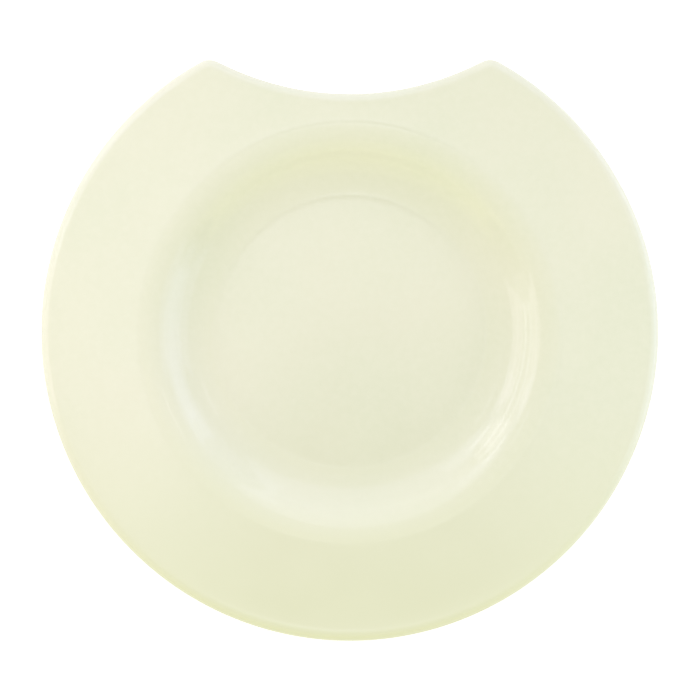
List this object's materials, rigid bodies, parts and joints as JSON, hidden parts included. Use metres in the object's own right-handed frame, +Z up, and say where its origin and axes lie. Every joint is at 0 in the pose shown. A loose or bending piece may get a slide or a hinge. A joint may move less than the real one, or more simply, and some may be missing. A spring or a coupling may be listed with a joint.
{
  "type": "plate",
  "caption": "Round dinner plate with a wide level rim, a shallow well and a foot ring, and a round bite out of the rim in which a neighbour nests.",
  "frame": {"origin": "on the table plane, at the centre of the foot ring, which is the axis of the turned form", "axes": "+Z up, out of the well; +Y from the axis through the middle of the bite; +X to the right when the bite points away from the viewer"},
  "size_m": [0.27, 0.2542, 0.021],
  "materials": {
    "glaze": "glossy cream glaze with a faint green cast",
    "bare_clay": "matt, bare fired clay"
  },
  "bodies": {
    "root": {"body": "bare_clay", "foot_ring": "bare_clay", "glaze_coat": "glaze", "base_glaze": "glaze"}
  },
  "joints": []
}
